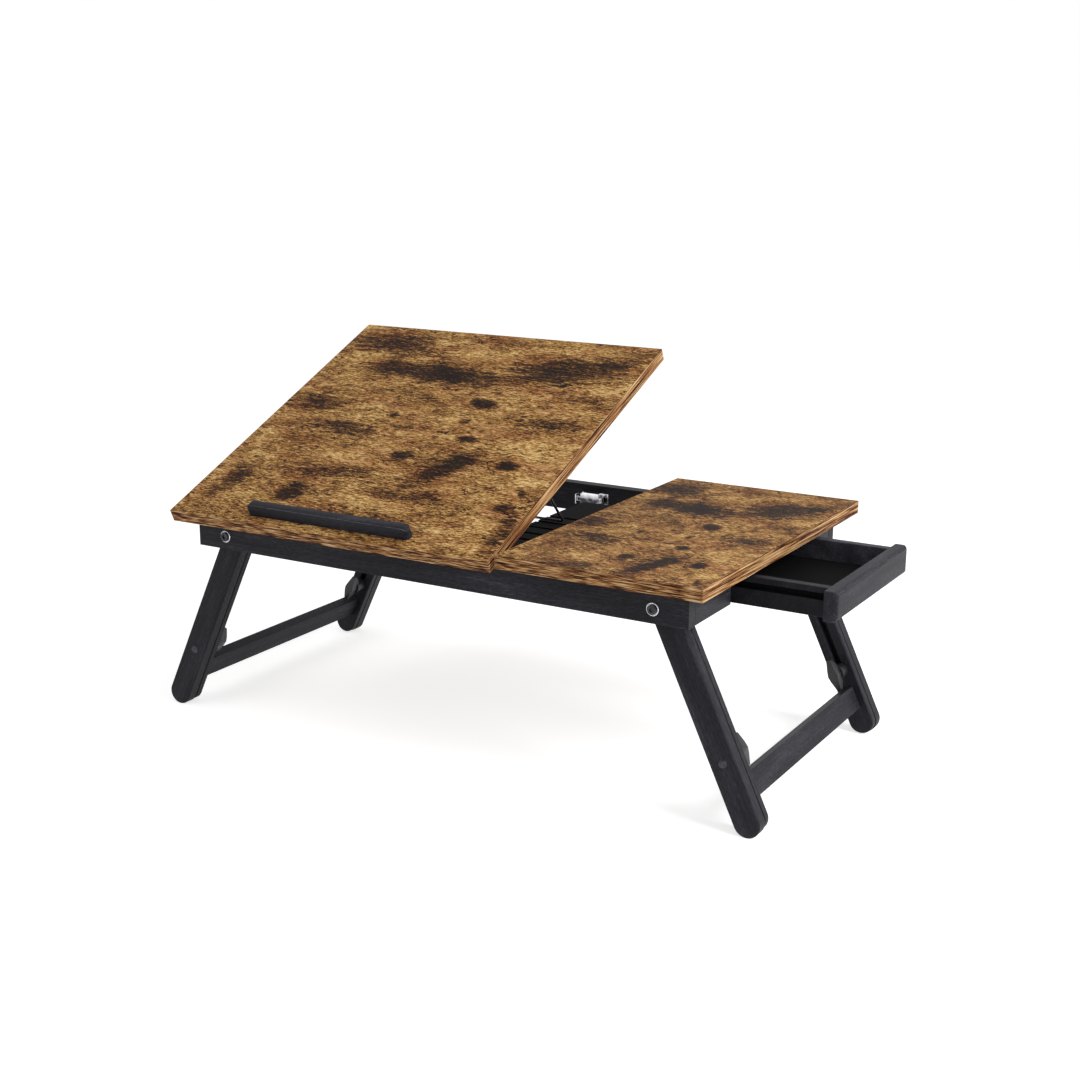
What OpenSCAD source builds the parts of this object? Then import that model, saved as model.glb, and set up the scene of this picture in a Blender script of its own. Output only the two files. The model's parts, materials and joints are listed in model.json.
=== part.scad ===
// Folding laptop stand: a tilting top on a wire prop, a narrow fixed top with
// a drawer under it, and two pairs of legs that fold and lengthen.
// X runs along the tops, Y from the user to the back, Z up. The origin is on
// the floor, in the middle of the space that the stand takes up.

/* [Tops] */
// Length of both tops together, with the seam
top_len = 550; // [500:5:620]
// Depth of the tops, from the user's edge to the back edge
top_depth = 350; // [320:5:400]
// Thickness of the boards
top_t = 12; // [10:0.5:16]
// Length of the tilting top
tilt_top_len = 353.5; // [330:0.5:380]
// Open seam between the two tops
seam = 4.5; // [2:0.5:8]
// Air between the closed tilting top and the frame under it
closed_lift = 0.2; // [0.1:0.1:0.5]
// Angle at which the tilting top is propped
tilt = 23.7; // [8:0.1:35]

/* [Frame] */
// How far the tops reach past the frame at each end
end_overhang = 18.5; // [12:0.5:24]
// How far the tops reach past the rails at the front and back
rail_inset = 15; // [12:0.5:20]
// Thickness of the long rails
rail_t = 12; // [10:0.5:15]
// Height of the rails and the end boards
rail_h = 29; // [28:0.5:34]
// Thickness of the end boards
end_board_t = 13; // [10:0.5:16]

/* [Ledge] */
// Length of the stop ledge
ledge_len = 180; // [120:1:240]
// Depth of the ledge
ledge_d = 10; // [8:0.5:14]
// Height of the ledge above the top
ledge_h = 12; // [8:0.5:16]
// Distance of the ledge from the top's front edge
ledge_in = 10.5; // [6:0.5:20]
// Radius of the ledge's rounded upper corners
ledge_r = 7; // [3:0.5:8]
// Ease along the ledge's long upper edges
ledge_ease = 2.5; // [1:0.5:4]

/* [Hinges] */
// Length of a hinge along its pin
hinge_len = 40; // [30:1:60]
// Distance from the hinge's middle to the end of the tilting top
hinge_in = 75; // [55:1:100]
// Outer radius of the hinge knuckles
knuckle_r = 2.5; // [2.2:0.1:3]
// Radius of the hinge pin
hinge_pin_r = 1.2; // [1:0.05:1.4]
// Thickness of a hinge leaf
leaf_t = 1.2; // [1:0.1:1.6]
// Width of a leaf, from the rail's outer face inwards
leaf_w = 11; // [8:0.5:11.5]
// Distance of a leaf's screws from its middle
leaf_screw_in = 9; // [6:0.5:12]
// Length of the small screws in the hinges, the clips and the keeper
small_screw = 8; // [6:0.5:10]
// Radius of those small screws
small_screw_r = 1.1; // [0.9:0.05:1.15]

/* [Prop] */
// Diameter of the prop wire
wire_d = 2.5; // [2:0.1:3]
// Length of the prop's legs, from pivot to foot
prop_len = 76; // [70:0.5:80]
// Distance along the top from the hinge pin to the prop's pivot
prop_at = 134.4; // [130:0.1:140]
// Distance of the prop's legs from the ends of the tilting top
prop_in = 36; // [30:0.5:38]
// Bend radius of the wire at its middle line
wire_bend = 4; // [3:0.5:6]
// Length of the wire's upper ends, bent inwards into their clips
prop_end = 16; // [14:0.5:20]
// How many times faster the prop turns than the top tilts
prop_ratio = 3; // [2.8:0.05:3.1]
// Length of a clip along the wire
clip_len = 9; // [6:0.5:10]
// Wall of a clip around the wire
clip_wall = 1.2; // [1:0.1:1.5]
// Thickness of a clip's plate
clip_t = 1; // [0.8:0.1:1.2]
// Width of a clip's plate on each side of the wire
clip_foot = 6; // [5:0.5:8]

/* [Racks] */
// Thickness of the notched rack boards
rack_t = 4.5; // [3.5:0.1:4.6]
// Air from the underside of the closed top down to the racks
rack_drop = 6.9; // [6.8:0.1:7.1]
// How far the racks reach past the prop's legs, towards the middle
rack_reach = 28.5; // [20:0.5:40]
// Spacing of the rack's notches
notch_pitch = 22; // [16:1:26]
// Number of notches in front of the one in use
notches_front = 3; // [1:1:4]
// Number of notches behind the one in use
notches_rear = 1; // [1:1:2]
// Depth of a notch
notch_d = 2.2; // [1.5:0.1:2.6]
// Width of a notch
notch_w = 5; // [4:0.5:7]
// Air between the folded wing knobs and the right rack's ends
rack_air = 1.6; // [1:0.1:4]
// Distance of the outer rack screws from the racks' ends
rack_screw_in = 12; // [8:1:20]
// Height of the block that carries the left rack
rack_foot_h = 10; // [6:0.5:14]
// Width of the strips and blocks that carry the racks
rack_strip_w = 10; // [8:0.5:12]

/* [Legs] */
// Splay of the legs from upright
splay = 25.2; // [20:0.1:28]
// Width of the leg bars, and the diameter of their round ends
leg_w = 24; // [20:0.5:26]
// Thickness of the outer bars
outer_t = 12; // [10:0.5:14]
// Thickness of the inner bars
inner_t = 8; // [6:0.5:10]
// How far the pivots lie below the middle of the rails
pivot_drop = 2.2; // [0:0.1:2.5]
// Distance from the pivot to the middle of the outer bar's round foot
leg_len = 193; // [180:1:200]
// How much shorter the inner bars are at the foot
foot_short = 1; // [0.5:0.5:3]
// Distance from the pivot to the top of the inner bars
inner_top = 16.5; // [14:0.5:20]
// Distance from the pivot to the clamp bolt
clamp_at = 139.5; // [125:0.5:142]
// Length by which the legs can be drawn out
travel = 80; // [50:1:84]
// Distance from the pivot to the middle of the crossbar
crossbar_at = 168; // [165:0.5:172]
// Width of the crossbar, along the leg
crossbar_w = 22; // [20:0.5:24]
// Thickness of the crossbar
crossbar_t = 10; // [8:0.5:12]
// How far the crossbar's screws reach into its ends
crossbar_bite = 18; // [14:1:24]
// Eased edge on the leg bars
bar_ease = 1; // [0.5:0.1:1.5]

/* [Bolts] */
// Radius of the pivot bolts
pivot_r = 3; // [2.5:0.1:3.5]
// Thickness of the washers between the rails and the legs
washer_t = 2; // [1.5:0.1:3]
// Radius of those washers
washer_r = 7; // [6:0.5:8]
// Radius of the bright ring under a pivot bolt's head
ring_r = 6; // [5.5:0.1:6.5]
// Thickness of the bright ring
ring_t = 1; // [0.8:0.1:1.4]
// Radius of a pivot bolt's head
head_r = 4.2; // [4:0.1:4.6]
// Height of a pivot bolt's head above its ring
head_h = 1.6; // [1.2:0.1:3]
// Radius of the six-sided socket in that head
socket_r = 2.3; // [2:0.1:2.5]
// Distance across the flats of the pivot nuts
nut_af = 10; // [9:0.5:11]
// Thickness of the pivot nuts
nut_t = 5; // [4:0.5:6]
// Radius of the clamp bolts
clamp_r = 3; // [2.5:0.1:3.2]
// Radius of the clamp bolts' button heads
button_r = 4; // [3.6:0.1:5]
// Height of the button heads
button_h = 0.8; // [0.5:0.1:1.2]

/* [Wing knobs] */
// Radius of the knob's round base
knob_r = 7; // [6:0.5:8]
// Height of the knob's round base
knob_base_h = 12; // [9:0.5:13]
// Length of the wing across the knob
wing_len = 29; // [22:0.5:30]
// Height of the whole knob
knob_h = 21; // [18:0.5:23]
// Length of the wing where it grows out of the base
wing_root = 18; // [16:0.5:20]
// Length of the wing's upper edge
wing_crown = 10; // [6:0.5:14]
// Height at which the wing reaches its full length
wing_low = 15; // [14:0.5:16]
// Height at which the wing begins to round off
wing_high = 19; // [17:0.5:20]
// Thickness of the wing in its middle
wing_mid = 10; // [7:0.5:12]
// Thickness of the wing at its tips
wing_tip = 4; // [2:0.5:6]

/* [Drawer] */
// How far the drawer is drawn out
drawer_out = 84.8; // [40:0.1:94]
// Width of the drawer's front board, which laps over its opening
front_w = 176; // [170:0.5:182]
// Height of the drawer's front board
front_h = 26; // [24:0.5:27]
// Thickness of the front board
front_t = 12; // [10:0.5:14]
// Distance from the fixed top's underside to the front board's upper edge
front_drop = 1.5; // [1:0.1:2]
// Radius of the front board's rounded outer edges
front_r = 4.5; // [1:0.5:5]
// Width of the drawer's box
box_w = 154.5; // [130:0.5:156]
// Length of the drawer's box behind its front board
box_len = 160; // [140:1:162]
// Distance from the fixed top's underside to the box's upper edge
box_drop = 2; // [1.5:0.1:3]
// Height of the drawer's sides and back
side_h = 25.5; // [22:0.5:26]
// Thickness of the drawer's sides
side_t = 9; // [8:0.5:10]
// Thickness of the drawer's back board
back_t = 8; // [6:0.5:10]
// Thickness of the drawer's bottom board
bottom_t = 3; // [2.5:0.5:4]
// Distance from the sides' lower edge up to the bottom board
bottom_up = 4; // [2:0.5:6]

/* [Drawer runners] */
// Distance from the sides' upper edge down to their runner grooves
groove_drop = 5.3; // [4:0.1:8]
// Height of the runner grooves
groove_h = 5.6; // [5:0.1:7]
// Depth of the runner grooves
groove_d = 4; // [3:0.5:5]
// Width of the runner board beside the drawer
runner_w = 10; // [9:0.5:12]
// Height of the runner board
runner_h = 18; // [16:0.5:24]
// How far the tongue is let into its runner board
tongue_in = 3; // [2:0.5:3]
// Distance of the runner screws from the runner's ends
runner_screw_in = 20; // [12:1:40]

/* [Latch] */
// Length of the latch's case
case_len = 21; // [18:0.5:22]
// Height of the latch's case
case_h = 12; // [10:0.5:14]
// How far the case stands out from the rail
case_d = 11; // [9:0.5:12]
// Distance from the rails' upper edge to the middle of the latch
latch_drop = 13.5; // [12:0.5:15]
// Thickness of the latch's sheet metal
sheet_t = 1.2; // [1:0.1:1.5]
// Side of the square sliding bolt
bolt_w = 5; // [4:0.5:6]
// How far the bolt stands out of its case when drawn back
nose_out = 1.5; // [1:0.1:2]
// How far the bolt slides
throw = 4.5; // [4:0.1:5]
// Width of the case's left flange
flange_left = 3.5; // [3:0.1:4]
// Width of the case's right flange
flange_right = 5.8; // [4:0.1:6]
// Radius of the latch's screws
latch_screw_r = 0.9; // [0.8:0.05:1]
// Distance of the latch's screws from its upper and lower edges
latch_screw_in = 2.5; // [2:0.1:3]
// Length of the keeper's plate under the tilting top
keeper_len = 12; // [10:0.5:14]
// Width of the keeper
keeper_w = 9; // [8:0.5:9]

/* [Clearances] */
// Gap between pieces that slide on each other
slide_gap = 0.2; // [0.1:0.05:0.3]
// Radial play of a pin or bolt in its hole
play = 0.05; // [0.02:0.01:0.1]
// Gap between the drawer's box and the end boards beside it
drawer_gap = 0.5; // [0.3:0.1:0.8]
// Gap around the clamp bolts in their slots
slot_gap = 0.3; // [0.2:0.1:0.5]
// Air between the latch and the folded legs
latch_air = 0.5; // [0.3:0.1:1]

/* [Hidden] */
$fn = 48;
cut = 1;            // how far a cutter reaches past what it cuts
join = 1;           // how far two shapes of one piece run into each other
bite = 0.6;         // share of a board's thickness that a screw's end goes into
round_off = 0.3;    // middle of an eased edge, as a share of its ease
pin_out = 0.5;      // how far a hinge pin stands out of its knuckles
bolt_out = 1;       // how far a pivot bolt stands out of its nut
knuckle_air = 0.3;  // air around the knuckles in the top's recess
wire_out = 1;       // how far the prop's ends stand out of their clips
leaf_screw_at = 0.55;   // place of a leaf's screws, as a share of its width
ledge_screw_at = 0.35;  // their distance from the ledge's middle, as a share
socket_depth = 0.8;     // depth of a bolt's socket, as a share of the head
notch_back = 1.6;   // from the wire's middle to the upper edge of the steep side
notch_lean = 0.2;   // lean of that steep side
notch_flat = 0.8;   // width of a notch's floor
rack_end = 0.8;     // the left rack past its first notch, in notch spacings

// Places along X
fixed_x = tilt_top_len + seam;
frame_x0 = end_overhang;
frame_x1 = top_len - end_overhang;
frame_mid = (frame_x0 + frame_x1) / 2;
left_stop_x = frame_x0 + end_board_t;
right_stop_x = frame_x1 - end_board_t;

// Places along Y: the front rail's and the rear rail's faces
front_out = rail_inset;
front_in = rail_inset + rail_t;
rear_in = top_depth - rail_inset - rail_t;
mid_y = top_depth / 2;

// Heights, with the fixed top's upper face at zero
under = -top_t;
rail_low = under - rail_h;
top_low = under + closed_lift;

// The legs lean on the lower inner edges of the end boards
pivot_z = under - rail_h / 2 - pivot_drop;
stop_drop = pivot_z - rail_low;
pivot_in = (leg_w / 2 + slide_gap + stop_drop * sin(splay)) / cos(splay);
right_pivot_x = right_stop_x - pivot_in;
left_pivot_x = left_stop_x + pivot_in;
outer_y = front_in + washer_t;
inner_y = outer_y + outer_t + slide_gap;
knob_y = inner_y + inner_t;
slot_r = clamp_r + slot_gap;
inner_len = leg_len - foot_short;

// The hinge's axis, just in front of the front rail
hinge_y = front_out - knuckle_r - slide_gap;
hinge_z = under + closed_lift / 2;
hinge_xs = [hinge_in, tilt_top_len - hinge_in];
knuckle_len = (hinge_len - 2 * slide_gap) / 3;

// The prop's pivot and foot, with the top closed and as it stands now
wire_r = wire_d / 2;
clip_r = wire_r + clip_wall;
prop_y = hinge_y + prop_at;
prop_z = under + closed_lift - clip_r;
prop_dy = prop_y - hinge_y;
prop_dz = prop_z - hinge_z;
pivot_now_y = hinge_y + prop_dy * cos(tilt) - prop_dz * sin(tilt);
prop_lean = tilt * (1 - prop_ratio);
foot_y = pivot_now_y + prop_len * cos(prop_lean);
prop_xs = [prop_in, tilt_top_len - prop_in];

// The racks, and the strip that carries the right one and stops the drawer
rack_top = under - rack_drop;
rack_low = rack_top - rack_t;
rack_y0 = knob_y + slide_gap + knob_h + rack_air;
rack_y1 = top_depth - rack_y0;
rack_x0 = prop_xs[1] - rack_reach;
rack_x1 = fixed_x + rack_strip_w;

// The drawer, closed: its front board laps over the end boards
front_x = frame_x1 + slide_gap;
box_x0 = front_x - box_len;
front_y0 = mid_y - front_w / 2;
box_y0 = mid_y - box_w / 2;
box_y1 = mid_y + box_w / 2;
opening_y0 = box_y0 - drawer_gap;
side_top = under - box_drop;
side_low = side_top - side_h;
groove_top = side_top - groove_drop;
bottom_z = side_low + bottom_up;

// The latch, just clear of the tips of the folded legs
latch_z = under - latch_drop;
case_y = rear_in - case_d;
case_x1 = right_pivot_x - leg_len - leg_w / 2 - latch_air - nose_out - throw;
case_x0 = case_x1 - case_len;
bolt_y = case_y + sheet_t + slide_gap + bolt_w / 2;
keeper_x = case_x1 + nose_out + slide_gap;

// The space that the stand takes up, and the shift that puts it on the floor
foot_reach = leg_len * sin(splay) + leg_w / 2;
low_x = min(0, left_pivot_x - foot_reach);
high_x = max(front_x + front_t + drawer_out, right_pivot_x + foot_reach, top_len);
low_y = min(0, hinge_y - hinge_y * cos(tilt) - (top_t + closed_lift / 2) * sin(tilt));
low_z = pivot_z - leg_len * cos(splay) - leg_w / 2;
to_floor = [-(low_x + high_x) / 2, -(low_y + top_depth) / 2, -low_z];

wood_print = [0.62, 0.44, 0.24];
black_wood = [0.17, 0.17, 0.18];
black_plastic = [0.12, 0.12, 0.13];
steel = [0.72, 0.72, 0.74];

// ---- Frames in which the pieces are drawn ----

// A piece of the standing frame
module fixed(tint) {
    color(tint) translate(to_floor) children();
}

// A piece on the tilting top, drawn with the top closed
module tilted(tint) {
    fixed(tint) translate([0, hinge_y, hinge_z]) rotate([tilt, 0, 0])
        translate([0, -hinge_y, -hinge_z]) children();
}

// A piece of the drawer, drawn with the drawer shut
module drawn(tint) {
    fixed(tint) translate([drawer_out, 0, 0]) children();
}

// The front piece and its mirror image at the rear
module front() {
    children();
}
module rear() {
    translate([0, top_depth, 0]) mirror([0, 1, 0]) children();
}
module both() {
    front() children();
    rear() children();
}

// A leg, drawn upright with its pivot at zero and its foot down.
// side is 1 for the right pair and -1 for the left pair.
module leg(side, tint) {
    fixed(tint)
        translate([side > 0 ? right_pivot_x : left_pivot_x, 0, pivot_z])
        rotate([0, -side * splay, 0]) children();
}

// ---- Shapes that repeat ----

module box(low, high) {
    translate(low) cube(high - low);
}

// A rod along Y, from y0 to y1, at x and z
module rod_y(r, y0, y1, x = 0, z = 0) {
    translate([x, y0, z]) rotate([-90, 0, 0]) cylinder(r = r, h = y1 - y0);
}

// A rod along X, from x0 to x1, at y and z
module rod_x(r, x0, x1, y = 0, z = 0) {
    translate([x0, y, z]) rotate([0, 90, 0]) cylinder(r = r, h = x1 - x0);
}

// A rod upwards from z0 to z1
module rod_z(r, z0, z1, x = 0, y = 0) {
    translate([x, y, z0]) cylinder(r = r, h = z1 - z0);
}

// A round disc along Y with eased rims
module eased_disc(r, y0, y1, z, ease) {
    translate([0, y0, z]) rotate([-90, 0, 0]) rotate_extrude()
        polygon([[0, 0], [r - ease, 0], [r, ease], [r, y1 - y0 - ease],
            [r - ease, y1 - y0], [0, y1 - y0]]);
}

// An upright bar with eased edges, from z0 down to z1
module eased_bar(w, y0, y1, z0, z1, ease) {
    h = w / 2;
    translate([0, 0, z1]) linear_extrude(z0 - z1)
        polygon([[-h, y0 + ease], [-h + ease, y0], [h - ease, y0], [h, y0 + ease],
            [h, y1 - ease], [h - ease, y1], [-h + ease, y1], [-h, y1 - ease]]);
}

// A countersunk wood screw pointing up, its head's face at z
module screw_up(x, y, z, length, r = 1.5) {
    translate([x, y, z]) {
        cylinder(r1 = 2 * r, r2 = r, h = r);
        translate([0, 0, r]) cylinder(r = r, h = length - r);
    }
}

// ---- Frame ----

module rail() {
    difference() {
        box([frame_x0, front_out, rail_low], [frame_x1, front_in, under]);
        for (x = [left_pivot_x, right_pivot_x])
            rod_y(pivot_r, front_out - cut, front_in + cut, x, pivot_z);
    }
}

module front_rail() {
    fixed(black_wood) difference() {
        rail();
        for (x = hinge_xs)
            box([x - hinge_len / 2 - slide_gap, front_out - cut, under - leaf_t],
                [x + hinge_len / 2 + slide_gap, front_out + leaf_w + slide_gap, under + cut]);
        for (x = hinge_xs)
            leaf_screw_rods(x, under, false);
    }
}

module rear_rail() {
    fixed(black_wood) difference() {
        rear() rail();
        latch_screw_rods();
    }
}

module left_end_board() {
    fixed(black_wood) difference() {
        box([frame_x0, front_in, rail_low], [left_stop_x, rear_in, under]);
        left_rack_screws();
    }
}

module end_block() {
    box([right_stop_x, front_in, rail_low], [frame_x1, opening_y0, under]);
}

module right_end_block_front() {
    fixed(black_wood) end_block();
}

module right_end_block_rear() {
    fixed(black_wood) rear() end_block();
}

module fixed_top() {
    fixed(wood_print) difference() {
        box([fixed_x, 0, under], [top_len, top_depth, 0]);
        runner_screw_rods();
        rack_strip_screw_rods();
    }
}

// ---- Racks that the prop stands in ----

// A saw-tooth notch along X, steep on the side that holds the prop
module notch(x0, x1, y) {
    translate([x0, y, rack_top]) rotate([90, 0, 90]) linear_extrude(x1 - x0)
        polygon([[notch_back - notch_w, cut], [notch_back - notch_w, 0],
            [notch_back - notch_lean - notch_flat, -notch_d],
            [notch_back - notch_lean, -notch_d], [notch_back, 0], [notch_back, cut]]);
}

module notch_row(x0, x1) {
    for (k = [-notches_front:notches_rear])
        notch(x0, x1, foot_y + k * notch_pitch);
}

rack_screw_ys = [rack_y0 + rack_screw_in, mid_y, rack_y1 - rack_screw_in];
strip_mid_x = fixed_x + rack_strip_w / 2;

module rack_strip_screw_rods() {
    for (y = rack_screw_ys)
        screw_up(strip_mid_x, y, rack_low, rack_t + rack_drop + top_t * bite);
}

module rack_strip() {
    fixed(black_wood) difference() {
        box([fixed_x, rack_y0, rack_top], [rack_x1, rack_y1, under]);
        rack_strip_screw_rods();
    }
}

module rack_right() {
    fixed(black_wood) difference() {
        box([rack_x0, rack_y0, rack_low], [rack_x1, rack_y1, rack_top]);
        notch_row(rack_x0 - cut, fixed_x);
        rack_strip_screw_rods();
    }
}

left_rack_x1 = prop_xs[0] + rack_reach;
left_rack_y0 = foot_y - (notches_front + rack_end) * notch_pitch;
left_rack_y1 = foot_y + (notches_rear + 2 * rack_end) * notch_pitch;

module left_rack_screws() {
    for (y = [left_rack_y0 + rack_screw_in, left_rack_y1 - rack_screw_in])
        translate([left_stop_x + rack_strip_w, y, rack_low - rack_foot_h / 2])
            rotate([0, -90, 0]) screw_up(0, 0, 0, rack_strip_w + end_board_t * bite);
}

module rack_left() {
    fixed(black_wood) difference() {
        union() {
            box([left_stop_x, left_rack_y0, rack_low], [left_rack_x1, left_rack_y1, rack_top]);
            box([left_stop_x, left_rack_y0, rack_low - rack_foot_h],
                [left_stop_x + rack_strip_w, left_rack_y1, rack_low]);
        }
        notch_row(left_stop_x - cut, left_rack_x1 + cut);
        left_rack_screws();
    }
}

module rack_screws() {
    fixed(steel) {
        rack_strip_screw_rods();
        left_rack_screws();
    }
}

// ---- Drawer runners ----

runner_y = box_y0 - drawer_gap;
runner_low = under - runner_h;
runner_screw_xs = [rack_x1 + runner_screw_in, right_stop_x - runner_screw_in];

module runner_screw_row() {
    for (x = runner_screw_xs)
        screw_up(x, runner_y - runner_w / 2 - small_screw_r, runner_low, runner_h + top_t * bite);
}

module runner_screw_rods() {
    both() runner_screw_row();
}

// The tongue that carries the drawer in its side's groove
module tongue() {
    box([rack_x1, runner_y - tongue_in, groove_top - groove_h + slide_gap],
        [right_stop_x, box_y0 + groove_d - slide_gap, groove_top - slide_gap]);
}

module runner() {
    difference() {
        box([rack_x1, runner_y - runner_w, runner_low], [right_stop_x, runner_y, under]);
        tongue();
        runner_screw_row();
    }
}

module tongue_front() {
    fixed(black_wood) tongue();
}

module tongue_rear() {
    fixed(black_wood) rear() tongue();
}

module runner_front() {
    fixed(black_wood) runner();
}

module runner_rear() {
    fixed(black_wood) rear() runner();
}

module runner_screws() {
    fixed(steel) runner_screw_rods();
}

// ---- Hinges of the tilting top ----

// Start of the knuckle with this number, 0 to 2, in the hinge at x
function knuckle_x(x, number) = x - hinge_len / 2 + number * (knuckle_len + slide_gap);

// The screws of a leaf whose outer face is at z, pointing up or down
module leaf_screw_rods(x, z, up) {
    for (s = [-1, 1])
        translate([x + s * leaf_screw_in, front_out + leaf_w * leaf_screw_at, z])
            mirror([0, 0, up ? 0 : 1]) screw_up(0, 0, 0, small_screw, small_screw_r);
}

// The knuckles with these numbers, and the flat leaf that joins them
module hinge_leaf(x, numbers, z0, z1, up) {
    difference() {
        union() {
            for (n = numbers)
                rod_x(knuckle_r, knuckle_x(x, n), knuckle_x(x, n) + knuckle_len, hinge_y, hinge_z);
            for (n = numbers)
                box([knuckle_x(x, n), hinge_y, z0],
                    [knuckle_x(x, n) + knuckle_len, front_out + join, z1]);
            box([x - hinge_len / 2, front_out, z0], [x + hinge_len / 2, front_out + leaf_w, z1]);
        }
        rod_x(hinge_pin_r + play, x - hinge_len, x + hinge_len, hinge_y, hinge_z);
        leaf_screw_rods(x, up ? z0 : z1, up);
    }
}

module rail_hinge_leaves() {
    fixed(steel) for (x = hinge_xs)
        hinge_leaf(x, [0, 2], under - leaf_t, under, false);
}

module top_hinge_leaves() {
    tilted(steel) for (x = hinge_xs)
        hinge_leaf(x, [1], top_low, top_low + leaf_t, true);
}

module rail_leaf_screws() {
    fixed(steel) for (x = hinge_xs)
        leaf_screw_rods(x, under, false);
}

module top_leaf_screws() {
    tilted(steel) for (x = hinge_xs)
        leaf_screw_rods(x, top_low, true);
}

module hinge_pins() {
    fixed(steel) for (x = hinge_xs)
        rod_x(hinge_pin_r, x - hinge_len / 2 - pin_out, x + hinge_len / 2 + pin_out,
            hinge_y, hinge_z);
}

// ---- Tilting top ----

module tilt_top() {
    tilted(wood_print) difference() {
        box([0, 0, top_low], [tilt_top_len, top_depth, closed_lift]);
        for (x = hinge_xs) {
            rod_x(knuckle_r + knuckle_air, x - hinge_len / 2 - 2 * pin_out,
                x + hinge_len / 2 + 2 * pin_out, hinge_y, hinge_z);
            box([x - hinge_len / 2 - slide_gap, hinge_y, top_low - cut],
                [x + hinge_len / 2 + slide_gap, front_out + leaf_w + slide_gap, top_low + leaf_t]);
        }
        for (x = hinge_xs)
            leaf_screw_rods(x, top_low, true);
        ledge_screw_rods();
        clip_screw_rods();
        keeper_screw_rods();
    }
}

ledge_x = tilt_top_len / 2;

module ledge_screw_rods() {
    for (s = [-1, 1])
        screw_up(ledge_x + s * ledge_len * ledge_screw_at, ledge_in + ledge_d / 2, top_low,
            top_t + ledge_h * bite);
}

// A bar with rounded ends, rounded upper corners and eased long edges
module ledge_bar() {
    half = ledge_len / 2;
    soft = ledge_ease * round_off;
    tilted(black_wood) translate([ledge_x, ledge_in, closed_lift]) difference() {
        intersection() {
            translate([0, ledge_d, 0]) rotate([90, 0, 0]) linear_extrude(ledge_d) {
                translate([-half, 0]) square([ledge_len, ledge_h - ledge_r]);
                translate([-half + ledge_r, 0]) square([ledge_len - 2 * ledge_r, ledge_h]);
                for (s = [-1, 1])
                    translate([s * (half - ledge_r), ledge_h - ledge_r]) circle(ledge_r);
            }
            translate([-half, 0, 0]) rotate([90, 0, 90]) linear_extrude(ledge_len)
                polygon([[0, 0], [ledge_d, 0], [ledge_d, ledge_h - ledge_ease],
                    [ledge_d - soft, ledge_h - soft], [ledge_d - ledge_ease, ledge_h],
                    [ledge_ease, ledge_h], [soft, ledge_h - soft], [0, ledge_h - ledge_ease]]);
            linear_extrude(ledge_h) {
                translate([-half + ledge_d / 2, 0]) square([ledge_len - ledge_d, ledge_d]);
                for (s = [-1, 1])
                    translate([s * (half - ledge_d / 2), ledge_d / 2]) circle(ledge_d / 2);
            }
        }
        translate([-ledge_x, -ledge_in, -closed_lift]) ledge_screw_rods();
    }
}

module ledge_screws() {
    tilted(steel) ledge_screw_rods();
}

// ---- Prop ----

// The wire's clips stand on its bent-in upper ends
function clip_x(s) = s < 0 ? prop_xs[0] + prop_end - clip_len : prop_xs[1] - prop_end;

module clip_screw_rods() {
    for (s = [-1, 1], t = [-1, 1])
        screw_up(clip_x(s) + clip_len / 2, prop_y + t * (clip_r + clip_foot / 2),
            top_low - clip_t, small_screw, small_screw_r);
}

module prop_clips() {
    tilted(steel) difference() {
        for (s = [-1, 1]) {
            rod_x(clip_r, clip_x(s), clip_x(s) + clip_len, prop_y, prop_z);
            box([clip_x(s), prop_y - clip_r - clip_foot, top_low - clip_t],
                [clip_x(s) + clip_len, prop_y + clip_r + clip_foot, top_low]);
        }
        rod_x(wire_r + play, 0, tilt_top_len, prop_y, prop_z);
        clip_screw_rods();
    }
}

module clip_screws() {
    tilted(steel) clip_screw_rods();
}

// A quarter bend in the plane of X and Y, from [r, 0] to [0, r]
module wire_quarter() {
    rotate_extrude(angle = 90) translate([wire_bend, 0]) circle(wire_r);
}

module prop_wire() {
    span = prop_xs[1] - prop_xs[0];
    tilted(steel) translate([prop_xs[0], prop_y, prop_z]) rotate([-tilt * prop_ratio, 0, 0]) {
        rod_x(wire_r, wire_bend, prop_end + wire_out);
        rod_x(wire_r, span - prop_end - wire_out, span - wire_bend);
        rod_x(wire_r, wire_bend, span - wire_bend, prop_len);
        for (x = [0, span])
            rod_y(wire_r, wire_bend, prop_len - wire_bend, x);
        translate([wire_bend, wire_bend, 0]) rotate([0, 0, 180]) wire_quarter();
        translate([span - wire_bend, wire_bend, 0]) rotate([0, 0, 270]) wire_quarter();
        translate([wire_bend, prop_len - wire_bend, 0]) rotate([0, 0, 90]) wire_quarter();
        translate([span - wire_bend, prop_len - wire_bend, 0]) wire_quarter();
    }
}

// ---- Latch that locks the closed top ----

latch_screw_xs = [case_x0 - flange_left / 2, case_x1 + flange_right / 2];
latch_screw_zs = [latch_z - case_h / 2 + latch_screw_in, latch_z + case_h / 2 - latch_screw_in];
latch_screw_len = 8;        // their length in the rail
latch_head_r = 1.3;         // radius of their heads
latch_head_h = 0.8;         // height of their heads
hood_in = 2;                // the case's hood begins this far from its left end
hood_out = 0.8;             // and stands out this far from its face
hood_up = 1.5;              // and this far above it
nose_bevel = 1.5;           // bevel on the bolt's nose
tab_out = 2.5;              // how far the finger tab stands out past the bolt
tab_h = 10;                 // height of the finger tab
tab_x = case_x0 - throw - slide_gap;
keeper_air = 0.6;           // air around the bolt in its keeper
keeper_drop = 3;            // how far the keeper reaches below the bolt

module latch_screw_rods() {
    for (z = latch_screw_zs, x = latch_screw_xs)
        rod_y(latch_screw_r, rear_in - sheet_t - latch_head_h, rear_in + latch_screw_len, x, z);
}

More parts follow.
